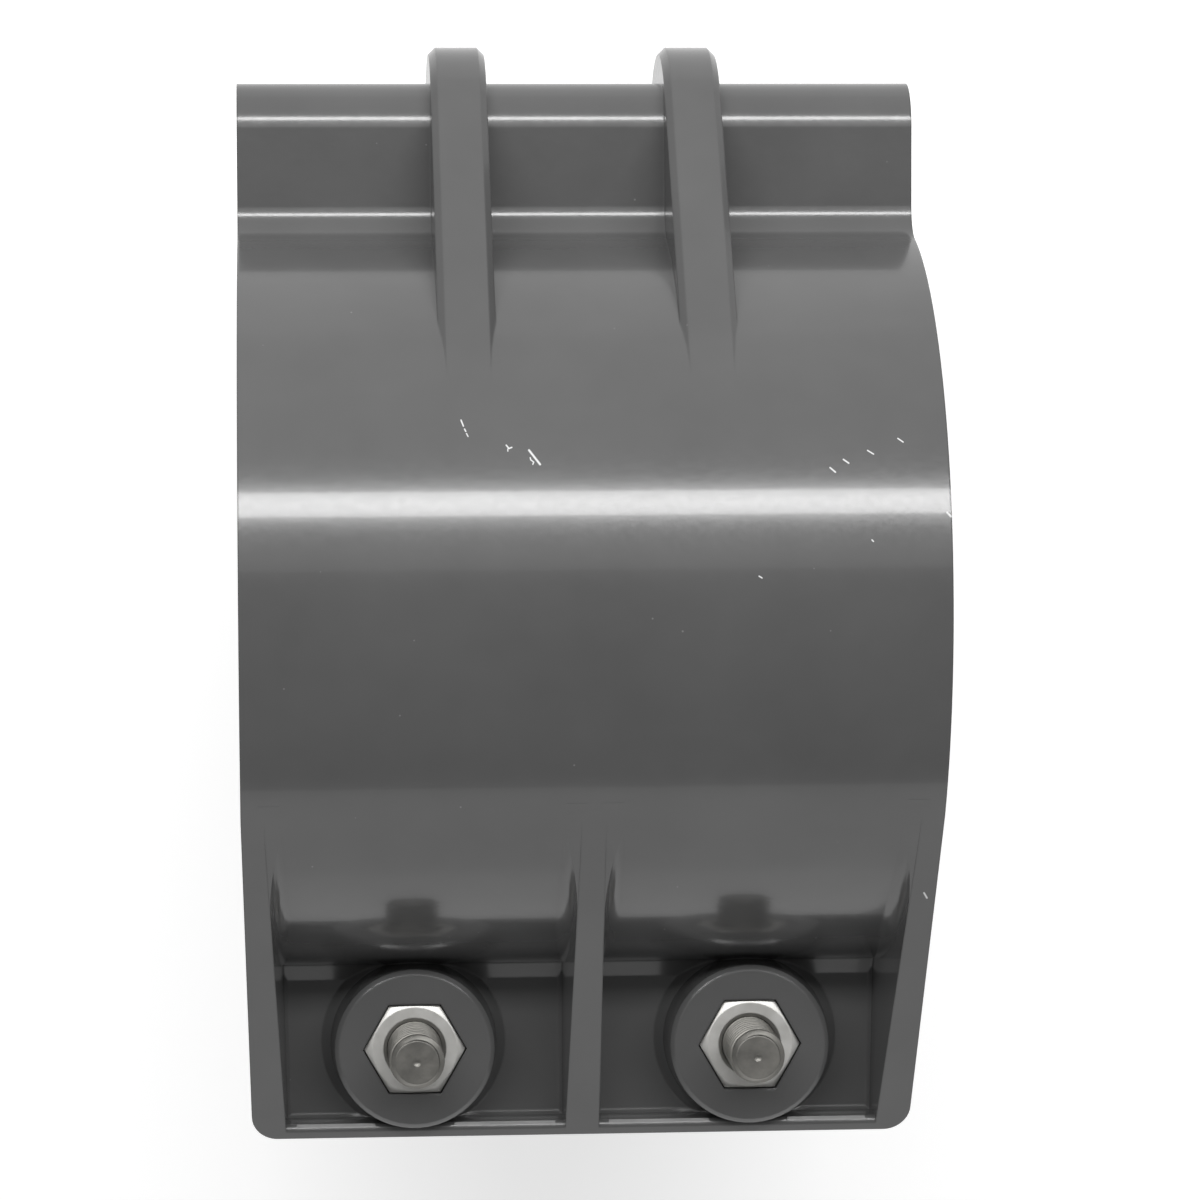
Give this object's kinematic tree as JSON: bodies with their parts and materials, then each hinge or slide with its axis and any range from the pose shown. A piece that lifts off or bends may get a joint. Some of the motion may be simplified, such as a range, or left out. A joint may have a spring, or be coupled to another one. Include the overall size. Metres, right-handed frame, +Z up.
{
  "type": "tapping saddle",
  "caption": "Hinged plastic saddle that bolts round a pipe and gives it a threaded branch outlet.",
  "frame": {"origin": "on the pipe's axis, at the middle of the saddle's length", "axes": "+X along the pipe, +Z up along the outlet's axis, +Y towards the hook hinge; the bolts are on the -Y side"},
  "size_m": [0.0976, 0.1581, 0.134],
  "materials": {
    "grey_pvc": "glossy moulded",
    "stainless_steel": "plain",
    "black_rubber": "matt"
  },
  "bodies": {
    "saddle": {"outlet_half": "grey_pvc", "strap_half": "grey_pvc", "gasket": "black_rubber", "reinforcing_ring": "stainless_steel", "nut_1": "stainless_steel", "nut_2": "stainless_steel"},
    "washer_1": {"washer_1": "stainless_steel"},
    "bolt_1": {"bolt_1": "stainless_steel"},
    "washer_2": {"washer_2": "stainless_steel"},
    "bolt_2": {"bolt_2": "stainless_steel"}
  },
  "joints": [
    {"name": "bolt_1_lift", "type": "slide", "parent": "saddle", "child": "washer_1", "axis": [0, 0, 1], "range_m": [0, 0.01693]},
    {"name": "bolt_1_turn", "type": "hinge", "parent": "washer_1", "child": "bolt_1", "pos_m": [-0.0243, -0.0643, 0], "axis": [0, 0, 1], "range_deg": [0, 4320]},
    {"name": "bolt_2_lift", "type": "slide", "parent": "saddle", "child": "washer_2", "axis": [0, 0, 1], "range_m": [0, 0.01693]},
    {"name": "bolt_2_turn", "type": "hinge", "parent": "washer_2", "child": "bolt_2", "pos_m": [0.0243, -0.0643, 0], "axis": [0, 0, 1], "range_deg": [0, 4320]}
  ],
  "couplings": [
    {"joint": "bolt_1_turn", "follows": "bolt_1_lift", "rad_per_m": 4452.7},
    {"joint": "bolt_2_turn", "follows": "bolt_2_lift", "rad_per_m": 4452.7}
  ]
}
